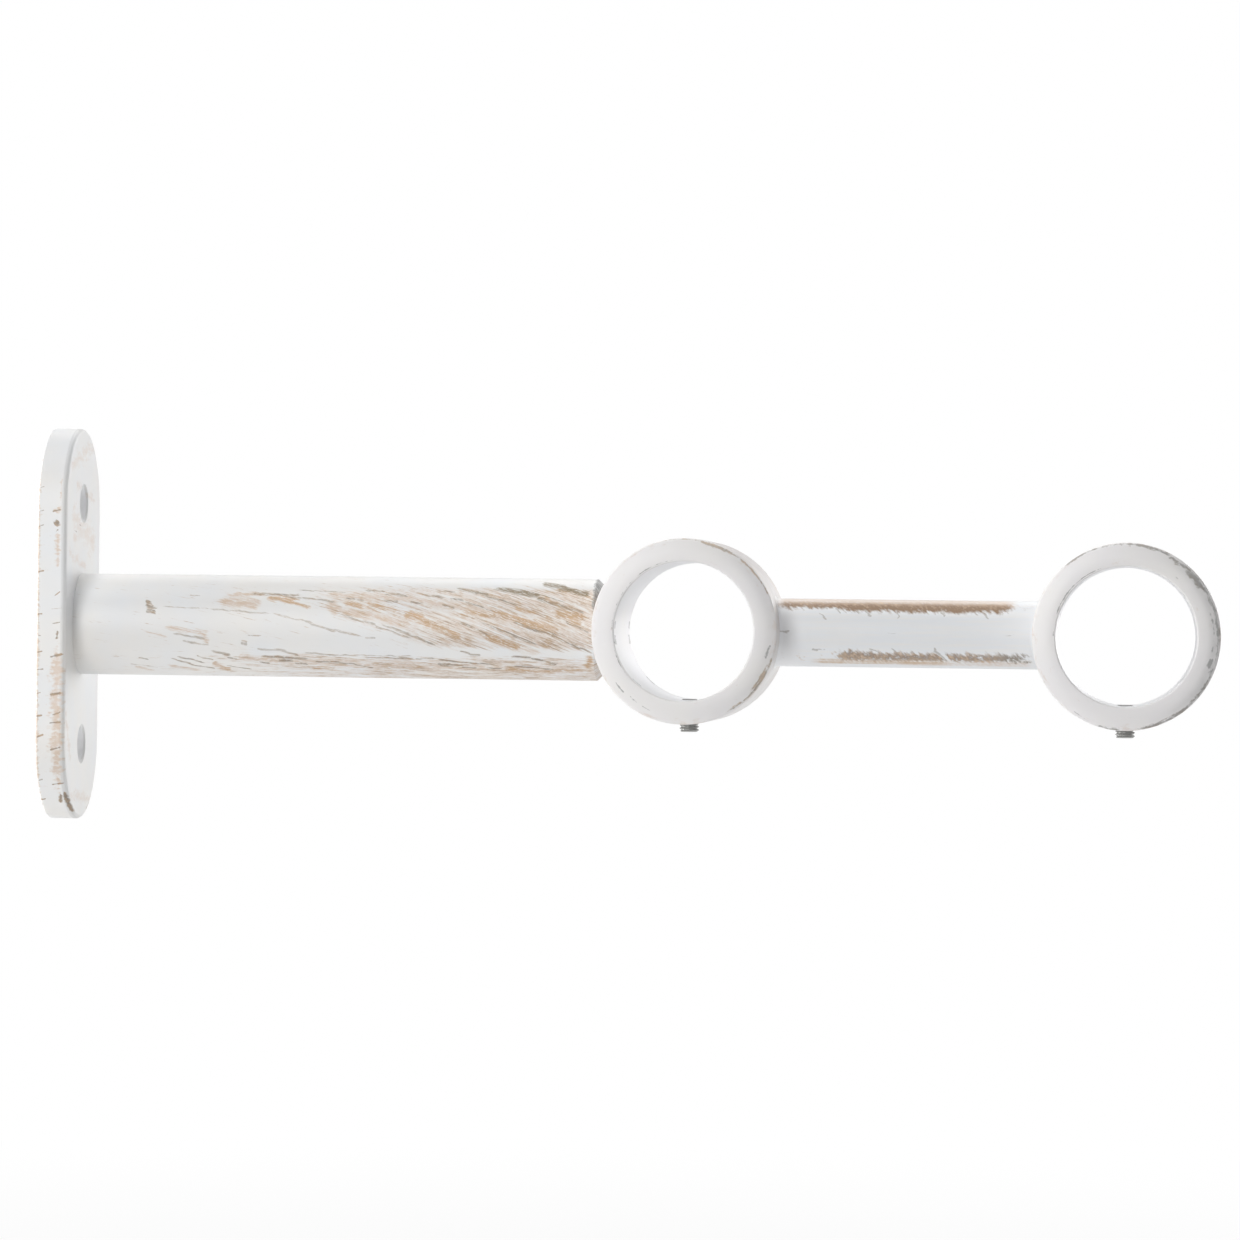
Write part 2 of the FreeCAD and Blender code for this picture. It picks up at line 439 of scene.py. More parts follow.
def paint_fields(tree, shader, place, paint, worn):
    """Lay the layers of wear, painted light and painted shade over the paint in turn, and feed the shader.

    Each layer is a mask from 0 to 1, its colour, and how bare the metal is there."""
    colour = paint
    bare = None
    for mask, worn_colour, bareness in worn:
        colour = mask.blend(colour, worn_colour)
        layer = mask * bareness
        bare = layer if bare is None else bare.most(layer)
    skin = place.scaled(PAINT_GRAIN, PAINT_GRAIN, PAINT_GRAIN).noise(detail=2.0)
    rough = PAINT_ROUGHNESS + skin * PAINT_ROUGHNESS_DRIFT + bare * (BARE_ROUGHNESS - PAINT_ROUGHNESS)
    bump = (skin * PAINT_UNEVENNESS - bare * WORN_DEPTH).bump(PAINT_BUMP_STRENGTH, PAINT_BUMP_HEIGHT)
    feed(tree, shader, Base_Color=colour, Roughness=rough, Metallic=bare * BARE_METALLIC, Normal=bump)


def cloudy_paint(place, share, tint=COOL_PAINT):
    """White paint that drifts a little between warm and another tint."""
    drift = place.scaled(0.12, 0.12, 0.12).swing(detail=3.0)
    return (drift * 0.3 + share).blend(WARM_PAINT, tint)


# Brush strokes on the stem, as millimetres along it and up round it from its middle line: where each
# starts and ends, its width and its depth
STEM_BROWN = [
    (15.7, 4.1, 16.2, 2.3, 0.6, 1.7), (16.0, 2.4, 17.6, 2.1, 0.65, 1.7),
    (22.1, 4.95, 24.0, 4.75, 0.35, 0.7), (18.0, 2.85, 26.0, 2.6, 0.25, 0.6),
    (25.5, 2.6, 35.0, 1.9, 0.3, 0.85), (31.3, 5.3, 40.0, 5.1, 0.5, 1.1),
    (36.5, 5.0, 45.0, 3.9, 0.45, 0.8), (39.0, 6.2, 46.5, 5.8, 0.35, 0.7),
    (35.0, 2.0, 40.5, 0.8, 0.3, 0.8), (40.0, 0.9, 45.5, -0.8, 0.35, 0.95),
    (44.5, -0.3, 48.8, -1.4, 0.35, 0.85), (49.4, -1.5, 51.0, -1.6, 0.35, 0.7),
    (30.5, -2.5, 31.5, -2.7, 0.5, 1.2), (31.7, -1.45, 33.7, -1.5, 0.22, 0.6),
    (20.0, -1.3, 24.8, -2.1, 0.35, 1.0), (21.5, -2.4, 25.5, -3.1, 0.35, 0.7),
    (14.2, -5.5, 16.0, -5.9, 0.35, 0.75), (13.3, -6.8, 17.2, -7.8, 0.5, 0.5),
    (19.2, -5.5, 22.7, -6.8, 0.35, 1.0), (22.3, -6.8, 26.2, -7.9, 0.35, 0.95),
    (20.5, -5.1, 24.6, -6.4, 0.4, 0.9), (23.5, -4.9, 25.8, -5.8, 0.3, 0.7),
    (25.5, -4.0, 28.9, -4.95, 0.42, 1.1), (28.4, -5.15, 29.7, -5.5, 0.4, 0.9),
    (27.8, -7.0, 31.7, -7.9, 0.35, 0.95), (33.0, -3.7, 37.5, -3.8, 0.4, 0.85),
    (36.8, -3.8, 39.2, -4.8, 0.45, 0.95), (40.3, -4.2, 45.2, -4.6, 0.35, 0.85),
    (33.4, -4.9, 41.2, -5.3, 0.5, 1.0), (36.3, -5.7, 38.2, -5.6, 0.8, 0.95),
    (33.0, -6.1, 35.0, -6.4, 0.5, 1.0), (38.1, -6.15, 40.5, -6.5, 0.5, 1.0),
    (41.8, -5.8, 45.5, -6.0, 0.5, 0.9), (44.5, -5.8, 48.3, -6.4, 0.45, 1.0),
    (47.5, -6.3, 50.7, -7.2, 0.45, 0.95), (44.0, -4.5, 57.0, -4.6, 0.25, 0.65),
    (49.3, -4.9, 57.2, -5.0, 0.3, 0.9), (57.0, -5.0, 60.2, -4.9, 0.3, 0.8),
    (60.0, -5.1, 69.5, -6.1, 0.32, 1.05), (60.8, -6.0, 64.5, -6.3, 0.7, 0.9),
    (63.8, -6.6, 66.6, -6.7, 0.55, 1.0), (67.8, -6.7, 70.7, -6.9, 0.4, 1.0),
    (71.8, -6.2, 78.4, -6.95, 0.4, 1.15), (71.7, -4.3, 75.3, -4.5, 0.4, 1.0),
    (74.8, -4.55, 79.2, -6.0, 0.55, 0.95), (64.2, -3.5, 65.5, -4.05, 0.4, 0.9),
    (65.0, -4.15, 67.2, -4.25, 0.42, 0.9), (46.2, 1.95, 51.0, 0.3, 0.4, 1.0),
    (50.6, 0.35, 56.7, -1.6, 0.35, 0.95), (52.3, 0.5, 60.8, -2.75, 0.42, 1.0),
    (64.0, 1.0, 68.8, -1.05, 0.42, 1.15), (67.0, 0.95, 71.7, -0.6, 0.35, 1.1),
    (70.8, -0.35, 75.8, -2.35, 0.38, 1.05), (72.3, 1.15, 78.0, -0.95, 0.38, 1.1),
    (77.2, -0.4, 84.2, -3.75, 0.4, 1.1), (68.9, 7.25, 76.3, 5.35, 1.0, 1.35),
    (75.3, 5.3, 79.5, 3.8, 0.65, 1.1), (78.0, 4.2, 83.0, 2.55, 0.5, 1.0),
    (63.2, 7.0, 68.3, 5.5, 0.8, 1.0), (67.0, 5.55, 72.8, 3.7, 0.5, 1.0),
    (75.8, 8.7, 80.3, 7.4, 1.3, 1.3), (78.4, 7.6, 83.9, 5.7, 1.1, 1.3),
    (75.0, 6.1, 80.2, 4.4, 0.25, 0.75), (49.3, 6.3, 52.3, 6.1, 0.5, 0.95),
    (52.4, 5.7, 55.8, 5.15, 0.6, 1.0), (57.8, 5.7, 61.2, 5.0, 0.7, 0.9),
    (60.2, 6.35, 63.2, 6.1, 0.45, 0.75), (61.8, 4.9, 64.7, 4.5, 0.5, 0.9),
    (52.3, 4.3, 54.4, 4.1, 0.5, 0.95), (46.3, 4.8, 49.2, 4.2, 0.4, 0.8),
    (61.0, 3.7, 63.6, 3.1, 0.4, 0.8), (64.3, 4.4, 69.5, 2.7, 0.38, 0.75),
    (56.3, 4.2, 58.6, 3.9, 0.5, 0.8), (80.0, 1.4, 83.8, -0.5, 0.35, 0.85),
]
STEM_GOLD = [
    (34.3, 4.65, 39.5, 4.2, 1.1, 1.2), (36.2, 4.3, 41.2, 3.0, 0.65, 1.1),
    (46.0, 3.9, 52.5, 2.9, 1.6, 0.75), (49.5, 4.0, 54.5, 2.5, 0.8, 0.85),
    (55.6, 2.4, 60.3, 0.4, 1.25, 1.3), (59.3, 0.8, 64.8, -1.65, 1.1, 1.25),
    (63.8, 2.4, 69.8, 2.2, 1.4, 0.8), (67.3, -0.75, 73.4, -2.95, 0.95, 1.25),
    (70.4, -1.6, 73.6, -3.0, 0.9, 1.2), (68.8, 2.8, 73.5, 1.5, 0.8, 1.2),
    (71.7, 1.95, 78.4, -0.6, 1.25, 1.35), (75.0, 1.7, 79.3, 0.0, 0.5, 0.8),
    (78.3, 2.35, 83.2, 2.1, 1.5, 1.3), (80.3, 1.4, 82.9, 0.8, 0.8, 1.1),
    (75.2, 5.6, 79.6, 3.95, 0.75, 1.15), (78.2, 7.3, 83.9, 5.5, 1.3, 1.25),
    (70.2, -7.0, 78.4, -7.7, 1.1, 1.1), (77.5, -7.2, 84.3, -7.0, 1.2, 0.7),
    (25.8, -6.3, 28.4, -8.2, 1.7, 0.85), (83.2, -6.8, 84.3, -4.0, 1.2, 1.2),
    (72.0, 3.4, 76.0, 2.4, 1.0, 0.7), (41.0, -7.3, 44.5, -7.5, 1.2, 0.6),
]
STEM_RUBBED = [
    (27.0, 3.95, 33.6, 3.4, 1.6, 1.0), (28.8, 5.1, 33.5, 5.2, 0.8, 0.7),
    (19.3, -0.4, 25.2, -1.1, 0.8, 0.6), (15.3, -0.8, 19.0, -1.8, 0.45, 0.6),
    (24.0, -1.0, 25.3, -2.7, 0.9, 0.7), (19.0, -7.0, 23.5, -8.5, 0.9, 0.8),
    (30.0, -4.9, 33.3, -5.6, 1.4, 0.6), (44.0, 4.3, 45.6, 2.0, 1.5, 0.8),
    (65.8, -6.9, 67.8, -7.0, 1.0, 1.0), (64.0, -0.9, 65.6, -1.8, 0.8, 1.0),
    (13.5, -7.6, 16.5, -8.8, 0.9, 0.5), (44.0, 5.2, 58.0, 4.6, 2.4, 0.7),
    (46.0, 2.6, 57.0, 0.6, 2.2, 0.75), (56.0, 4.6, 69.0, 2.6, 2.6, 0.7),
    (66.0, 4.6, 80.0, 1.6, 2.4, 0.65), (70.0, 5.6, 84.0, 3.6, 1.6, 0.5),
    (33.0, -5.6, 50.0, -6.2, 2.2, 0.75), (48.0, -6.5, 84.0, -7.2, 2.8, 0.75),
    (62.0, -0.6, 76.0, -3.6, 1.6, 0.5), (57.0, 0.9, 63.0, -2.3, 1.8, 0.5),
]
# The path of the brush over the stem: its slope at the plate, and how much that grows to a millimetre
STEM_BRUSH_SLOPE = 0.127
STEM_BRUSH_CURVE = 0.00183
# The clear band: its upper edge at the plate and how fast that falls, and its lower edge, under which the
# stem's underside begins
STEM_CLEAR_TOP = 13.8
STEM_CLEAR_FALL = 0.28
STEM_CLEAR_LOWEST = -3.2
STEM_UNDERSIDE = -4.0


def stem_paint():
    """White paint dragged off the stem in slanting streaks that get stronger towards the ring."""
    material, tree, shader, place = start_material("brushed_stem_paint")
    x, v = unrolled(place, STEM_RADIUS)
    spot = wandering(x, v, 0.3, 0.06)
    # The brush came down towards the ring, and less so along the underside
    drop = (x * STEM_BRUSH_CURVE + STEM_BRUSH_SLOPE) * x
    lean = v.smooth(STEM_UNDERSIDE - 0.4, STEM_UNDERSIDE + 0.4) * 0.75 + 0.25
    level = v + drop * lean
    hairs = brushed(x, level, 0.16, 2.6, seed=0.0, detail=4.0, roughness=0.62)
    tufts = brushed(x, level, 0.12, 0.9, seed=4.0, detail=2.0, roughness=0.5)
    specks = brushed(x, level, 1.2, 2.6, seed=8.0)
    tint = brushed(x, level, 0.6, 1.8, seed=16.0)
    streaks = brushed(x, level, 0.3, 5.5, seed=24.0, detail=2.0, roughness=0.5)
    flecks = brushed(x, level, 0.8, 5.0, seed=32.0, roughness=0.65)
    # Two worn stretches, above and below a clear band that narrows towards the ring
    border = (STEM_CLEAR_TOP - x * STEM_CLEAR_FALL).most(STEM_CLEAR_LOWEST)
    upper = (v - border).smooth(-0.8, 0.8) * v.smooth(8.2, 6.2) * x.smooth(20.0, 76.0)
    lower = v.smooth(STEM_UNDERSIDE, STEM_UNDERSIDE - 1.4) * x.smooth(6.0, 56.0) * 0.9
    wear = upper.most(lower)
    haze = wear * 1.6 - 1.0
    brown = worn_strokes(spot, STEM_BROWN) + specks * 0.15 + streaks * 0.3 + hairs * 0.2
    gold = worn_strokes(spot, STEM_GOLD) + specks * 0.25 + streaks * 0.35 + hairs * 0.35
    scrub = hairs * 0.35 + streaks * 0.35 + specks * 0.2 + tufts * 0.3
    rubbed = (worn_strokes(spot, STEM_RUBBED) + 0.2).most(haze) + scrub
    fine = wear * 0.85 - 1.0 + streaks * 0.6 + tint * 0.45 + tufts * 0.35
    # The strokes are fainter across the middle, and darker at the top by the ring
    faint = v.between(STEM_UNDERSIDE, 2.5, 0.8) * x.smooth(18.5, 20.5) * x.smooth(64.0, 50.0)
    dark_end = v.smooth(3.0, 6.5) * x.smooth(60.0, 74.0)
    stroke_tone = dark_end.blend((tint * 0.35 + 0.3).blend(OLIVE_BROWN, GOLD), UMBER)
    end_rub = x.smooth(STEM_END - 0.8, STEM_END + 0.2) * v.smooth(1.0, 4.0) + hairs * 0.2
    paint = cloudy_paint(place, 0.3)
    brown_mask = (brown + faint * 0.2).smooth(-0.25, 0.8) * (0.9 + specks * 0.1 - faint * 0.3)
    worn = [
        (rubbed.smooth(-0.55, 1.15) * 0.9, (tint * 0.4 + 0.5).blend(THIN_PAINT, PALE_BRONZE), 0.3),
        (gold.smooth(-0.2, 0.95) * 0.95, (tint * 0.45 + streaks * 0.3 + 0.4).blend(GOLD, GILT), 0.8),
        (fine.smooth(-0.2, 0.8) * 0.8, (tint * 0.4 + 0.5).blend(BROWN, GOLD), 1.0),
        (brown_mask, stroke_tone, 1.0),
        (flecks.smooth(0.15, 1.0) * 0.8, paint, 0.0),
        (end_rub.smooth(0.45, 0.9) * (0.75 + specks * 0.3), GREY_METAL, 1.0),
    ]
    paint_fields(tree, shader, place, paint, worn)
    return material


# Marks on the neck besides its two worn bands, in millimetres as on the stem
NECK_MARKS = [
    (111.8, 0.15, 114.0, 0.1, 0.45, 0.8), (117.2, -2.6, 118.3, -2.65, 0.45, 0.9),
    (118.2, -2.5, 119.2, -2.55, 0.3, 0.6), (118.2, 3.5, 119.4, 2.0, 0.3, 1.1),
    (120.7, 4.3, 121.5, 3.3, 0.4, 1.0), (123.2, 4.2, 124.3, 3.0, 0.4, 1.0),
    (125.3, 3.9, 126.3, 2.4, 0.4, 1.1), (130.0, 3.8, 130.3, 2.3, 0.35, 1.0),
    (136.5, 3.6, 137.3, 2.7, 0.35, 1.0), (143.0, 3.8, 144.0, 2.3, 0.4, 1.0),
    (135.5, -1.9, 138.0, -4.8, 0.5, 0.9), (126.0, -2.2, 127.4, -3.2, 0.35, 0.9),
    (129.3, -2.2, 130.4, -3.3, 0.3, 0.8), (146.0, 0.0, 148.0, -0.1, 0.25, 0.5),
    (128.8, 0.1, 130.0, 0.0, 0.25, 0.4),
]
# The stroke of paint that crosses the lower band
NECK_GAP = (135.9, -2.0, 138.9, -5.6, 0.8, 1.3)
# The way that the bands' edges are barbed: how far along the neck, and how far up round it
NECK_BARB_ALONG = 0.78
NECK_BARB_UP = 0.62
# Where along the neck the upper band is at its fullest, and where it and the lower band reach at all
NECK_TOP_FULL = (124.0, 144.0)
NECK_TOP_REACH = (113.5, 146.0)
NECK_LOW_REACH = (123.0, 148.5)
# How far up round the neck the bands' lower and upper edges lie
NECK_TOP_EDGES = (4.2, 6.6)
NECK_LOW_EDGES = (-5.0, -3.1)
# Painted light by the inner ring: brighter white over its shade on the neck, which thins out from the first
# place to the second
NECK_ROOT_LIGHT = (113.5, 117.0)


def neck_paint():
    """White paint worn through in a ragged band along the top and another along the bottom, with painted
    light by the inner ring.
    """
    material, tree, shader, place = start_material("brushed_neck_paint")
    x, v = unrolled(place, NECK_RADIUS)
    spot = wandering(x, v, 0.2, 0.15)
    slant = x * NECK_BARB_ALONG + v * NECK_BARB_UP
    rise = x * NECK_BARB_UP - v * NECK_BARB_ALONG
    barbs = brushed(slant, rise, 1.7, 0.45, seed=0.0)
    lengths = brushed(x, v, 0.12, 2.2, seed=3.0, roughness=0.55)
    blots = brushed(x, v, 0.6, 0.9, seed=6.0, roughness=0.55)
    specks = brushed(slant, rise, 2.4, 1.0, seed=9.0)
    top_full = x.between(*NECK_TOP_FULL, 4.5)
    top_thin = x.between(*NECK_TOP_REACH, 2.5)
    top_low = NECK_TOP_EDGES[0] - top_full * 0.65 - barbs * 0.35 - blots * 0.15
    top = (v - top_low).smooth(-0.4, 0.5) * (NECK_TOP_EDGES[1] - v + specks * 0.3).smooth(0.0, 1.5)
    top_strength = (top_thin * (0.75 + top_full * 0.35) + blots * 0.15 + specks * 0.15).smooth(0.0, 0.8)
    haze = v.between(4.8, 7.6, 0.5) * top_thin * (1.0 + lengths * 0.3)
    low_full = x.between(*NECK_LOW_REACH, 3.5)
    low_high = NECK_LOW_EDGES[1] + barbs * 0.4 + x.smooth(128.0, 124.0) * 0.25
    low = (low_high - v).smooth(-0.3, 0.5) * (v - NECK_LOW_EDGES[0] + specks * 0.35).smooth(0.0, 0.8)
    gap = 1 - worn_strokes(spot, [NECK_GAP]).smooth(0.0, 0.5)
    low_strength = low_full + blots * 0.25 + specks * 0.3 - x.smooth(144.5, 147.0) * 0.2
    low_strength = low_strength.smooth(0.2, 0.95) * gap
    gilt = v.between(-5.5, -4.6, 0.35) * x.between(119.5, 136.0, 3.0) * (0.65 + lengths * 0.3 + specks * 0.2)
    blush = v.between(-5.8, -4.6, 0.5) * x.between(132.0, 149.0, 2.0) * (0.45 + lengths * 0.3 + specks * 0.2)
    marks = (worn_strokes(spot, NECK_MARKS) + specks * 0.3).smooth(0.0, 0.7)
    lower_tone = (specks * 0.45 + blots * 0.25 + 0.3).blend(BROWN, PALE_BRONZE)
    upper_tone = ((v - 4.9) * 0.35 + specks * 0.3 + blots * 0.15 + 0.1).blend(RUSSET, PALE_BRONZE)
    worn = [
        (haze.most(blush), THIN_PAINT, 0.4),
        (gilt, PALE_BRONZE, 0.8),
        (marks * 0.55, OLIVE_BROWN, 0.8),
        (top * top_strength, upper_tone, 1.0),
        (low * low_strength * 0.95, x.smooth(144.0, 147.0).blend(lower_tone, OLIVE_BROWN), 1.0),
    ]
    paint = (lengths * 0.35 + 0.8).blend(WARM_PAINT, COOL_PAINT)
    # Painted light: brighter white by the inner ring, where its shade falls on the neck
    root_light = x.smooth(NECK_ROOT_LIGHT[1], NECK_ROOT_LIGHT[0]) * 0.9
    paint_fields(tree, shader, place, root_light.blend(paint, PAINTED_LIGHT_WHITE), worn)
    return material


def around_ring(place, reach):
    """Arc length round a ring from its outer side, and the way out from inside its bore, across its face
    and on over its rim."""
    x, y, z = place.parts()
    from_axis = x - reach
    radius = from_axis.across_from(z)
    arc = z.turn_from(from_axis) * RING_OUTER_RADIUS
    on_rim = radius.smooth(RING_OUTER_RADIUS - 0.6, RING_OUTER_RADIUS - 0.1)
    over_rim = (RING_DEPTH / 2 - RING_CROWN_DROP - abs(y)).most(0.0) * on_rim
    in_bore = radius.smooth(RING_BORE_RADIUS + 0.3, RING_BORE_RADIUS)
    into_bore = (RING_DEPTH / 2 - abs(y)).most(0.0) * in_bore
    return arc, radius + over_rim - into_bore


def ring_arc(degrees):
    return math.radians(degrees) * RING_OUTER_RADIUS


def on_ring(lines):
    """Worn lines with their turns round the ring, which are in degrees, as arc lengths."""
    return [
        (ring_arc(start), start_out, ring_arc(end), end_out, width, depth)
        for start, start_out, end, end_out, width, depth in lines
    ]


# Worn lines on the rings: start and end in degrees round the ring from its outer side, the way out in
# millimetres at each, width and depth
INNER_RING_EDGE = [
    (22, 13.8, 62, 13.75, 0.35, 0.8), (56, 13.7, 80, 13.6, 0.5, 1.2), (76, 13.75, 104, 13.9, 0.3, 0.8),
    (-62, 13.7, -12, 13.8, 0.4, 0.95), (-40, 13.4, -20, 13.5, 0.5, 0.6), (60, 14.6, 76, 14.9, 0.5, 0.9),
    (28, 14.7, 50, 14.4, 0.4, 0.7), (-55, 14.7, -30, 14.6, 0.5, 0.7),
]
INNER_RING_GREY = [
    (-143, 12.75, -133, 12.9, 0.3, 0.9), (-129, 12.6, -122, 12.75, 0.3, 0.9),
    (-119, 12.8, -112, 12.9, 0.3, 0.9), (-18, 12.9, -8, 13.1, 0.6, 0.8),
    (100, 10.8, 178, 10.8, 0.25, 0.5), (-165, 10.75, -140, 10.75, 0.2, 0.5),
    (172, 9.0, 179, 8.8, 2.4, 1.0), (-177, 8.8, -168, 9.0, 2.4, 1.2), (-138, 8.8, -127, 9.0, 2.2, 0.9),
]
OUTER_RING_EDGE = [
    (32, 13.4, 50, 13.3, 0.9, 1.3), (46, 13.5, 64, 13.5, 0.6, 1.1), (60, 13.65, 92, 13.8, 0.5, 1.0),
    (88, 13.8, 132, 13.9, 0.45, 0.8), (-84, 13.75, -26, 13.7, 0.5, 1.0), (-108, 13.8, -92, 13.9, 0.6, 1.1),
]
OUTER_RING_GREY = [
    (-30, 13.6, 44, 13.6, 0.9, 0.7), (-21, 13.0, -13, 13.05, 0.75, 1.4), (-10, 12.9, 20, 13.0, 0.5, 0.5),
    (105, 10.85, 165, 10.85, 0.25, 0.9), (49, 11.5, 51.5, 11.5, 0.15, 0.9),
    (175, 10.8, 230, 10.8, 0.2, 0.5), (-125, 13.5, -112, 13.7, 0.25, 0.8),
]
# Turns from a ring's outer side, in degrees: how far its face's painted shade is full and where that ends,
# how far its bore's painted light is full and where that ends, and where the barrel has painted shade above
RING_SIDE_SHADE_FULL = 35
RING_SIDE_SHADE_END = 75
RING_BORE_LIGHT_FULL = 150
RING_BORE_LIGHT_END = 172
RING_TOP_SHADE_START = 15
RING_TOP_SHADE_END = 75
RING_TOP_SHADE_SOFT = 20


def ring_paint(name, reach, edge_lines, grey_lines, edge_colours, side_shade_depth):
    """White paint worn to broken lines round the ring's outer edge, painted shade on its outer side and on
    the barrel's top, and painted light in its bore.

    The two edge colours are mixed in specks, and the last argument is how dark the grey painted shade on the
    face's outer side is."""
    material, tree, shader, place = start_material(name)
    arc, out = around_ring(place, reach)
    spot = arc.joined(arc, out, 0.0)
    hairs = brushed(arc, out, 0.3, 2.4, seed=reach, detail=4.0)
    blots = place.scaled(0.5, 0.5, 0.5).swing(detail=3.0, roughness=0.55)
    specks = brushed(arc, out, 1.1, 2.4, seed=reach + 5.0)
    edge = worn_strokes(spot, on_ring(edge_lines)) + hairs * 0.3 + specks * 0.5 + blots * 0.2
    grey = worn_strokes(spot, on_ring(grey_lines)) + hairs * 0.3 + specks * 0.45 + blots * 0.15
    # Painted shade on the face's outer side and the barrel's top, a dull barrel, and painted light in the
    # bore
    outer_side = abs(arc).smooth(ring_arc(RING_SIDE_SHADE_END), ring_arc(RING_SIDE_SHADE_FULL))
    side_shade = outer_side * out.smooth(11.9, 13.2) * (0.75 + blots * 0.2) * out.smooth(16.5, 14.0)
    # Painted shade: duller paint over the top of the barrel, where the lamps shine on it
    above = arc.between(ring_arc(RING_TOP_SHADE_START), ring_arc(RING_TOP_SHADE_END), ring_arc(RING_TOP_SHADE_SOFT)) * 0.65
    on_barrel = out.smooth(RING_OUTER_RADIUS, RING_OUTER_RADIUS + 0.6)
    barrel = on_barrel * (0.15 + above + blots * 0.1 + hairs * 0.1)
    # Painted light: a brighter white over the bore, which lies in shade
    lit_bore_side = abs(arc).smooth(ring_arc(RING_BORE_LIGHT_END), ring_arc(RING_BORE_LIGHT_FULL))
    bore = out.smooth(RING_BORE_RADIUS - 0.1, RING_BORE_RADIUS - 0.9) * lit_bore_side * 0.8
    rubbed = out.between(14.2, 19.0, 1.5) * 0.6 + hairs * 0.3 + blots * 0.3 + specks * 0.2
    worn = [
        (side_shade * side_shade_depth, GREY_METAL, 0.2),
        (barrel, DULL_PAINT_AND_SHADE, 0.2),
        (bore, PAINTED_LIGHT_WHITE, 0.0),
        (rubbed.smooth(0.45, 1.2) * 0.5, THIN_PAINT, 0.4),
        (grey.smooth(0.05, 0.9) * 0.75, GREY_METAL, 0.8),
        (edge.smooth(-0.1, 0.9) * 0.85, (specks * 0.4 + 0.3).blend(*edge_colours), 0.9),
    ]
    paint_fields(tree, shader, place, cloudy_paint(place, 0.7, LILAC_PAINT), worn)
    return material


# Marks on the plate's side, as height and the way out from the wall in millimetres: most cross the side
PLATE_SIDE_BROWN = [
    (14.9, 2.6, 15.6, 3.3, 0.9, 1.4), (17.0, 2.2, 17.3, 3.6, 0.35, 0.9), (13.9, 2.8, 14.3, 3.2, 0.4, 0.8),
    (-19.2, 2.2, -18.7, 4.0, 0.4, 1.0), (-15.1, 2.0, -14.9, 4.1, 0.35, 1.0),
    (-10.8, 2.1, -10.5, 4.0, 0.45, 1.1), (-5.1, 2.0, -4.6, 4.2, 0.5, 1.0),
    (-2.4, 3.1, -1.0, 3.3, 0.6, 0.9), (0.0, 2.4, 0.2, 3.7, 0.3, 0.8), (2.2, 2.2, 2.4, 4.0, 0.2, 0.6),
    (4.2, 2.7, 4.9, 3.6, 0.3, 0.7), (-24.5, 2.1, -24.2, 4.2, 0.3, 0.9), (-27.4, 3.0, -25.9, 3.4, 0.8, 0.9),
    (-17.3, 0.2, -16.8, 1.3, 0.35, 1.0), (-23.9, 0.2, -23.7, 0.9, 0.3, 1.0),
    (14.7, 0.2, 15.0, 1.0, 0.3, 0.9), (17.0, 0.2, 17.2, 1.0, 0.3, 0.8),
    (-29.0, 4.4, -25.4, 3.9, 0.7, 1.3), (-13.9, 2.5, -13.4, 3.9, 0.4, 0.8),
    (7.8, 0.1, 8.0, 1.1, 0.3, 0.9), (1.4, 0.1, 1.5, 0.9, 0.3, 0.9), (-1.9, 0.1, -1.8, 0.8, 0.25, 0.8),
    (-4.4, 0.1, -4.2, 1.0, 0.3, 0.9), (-7.0, 0.1, -6.9, 1.2, 0.3, 0.9), (-10.6, 0.1, -10.5, 0.8, 0.25, 0.8),
    (-14.1, 0.1, -13.9, 1.1, 0.35, 1.0), (-26.9, 0.1, -26.7, 0.9, 0.3, 0.9), (20.6, 0.2, 20.8, 0.9, 0.2, 0.7),
]
PLATE_SIDE_RUBBED = [
    (-25.0, 3.2, -3.5, 3.2, 1.9, 1.0), (-20.0, 3.1, -10.0, 3.1, 1.4, 1.1), (8.3, 3.2, 14.0, 3.1, 0.9, 0.8),
    (-28.0, 0.15, 24.0, 0.15, 0.6, 1.1), (16.8, 2.8, 18.0, 3.6, 1.0, 0.9), (18.5, 3.5, 22.0, 3.5, 0.4, 0.5),
]
# Marks on the plate's face, as the way along the poles and height in millimetres
PLATE_FACE_BROWN = [
    (-11.0, -26.0, -8.6, -28.0, 1.8, 1.3), (-6.8, 29.3, -4.2, 29.3, 0.4, 0.9),
    (-7.2, 14.3, -5.0, 14.0, 0.35, 0.7), (-3.4, 15.2, -1.6, 15.0, 0.35, 0.6),
]
PLATE_FACE_RUBBED = [
    (-10.0, 24.0, 8.0, 28.0, 3.0, 0.6), (-11.0, 11.0, 2.0, 8.5, 2.0, 0.6),
    (-9.0, 17.0, 9.0, 12.0, 5.0, 0.75), (-8.0, 13.0, 4.0, 15.0, 3.0, 0.6), (-6.0, 21.5, 8.0, 19.0, 2.0, 0.6),
    (-12.0, -13.0, -8.0, -21.0, 3.0, 0.45), (-9.0, -26.0, 8.0, -27.5, 2.4, 0.6),
]


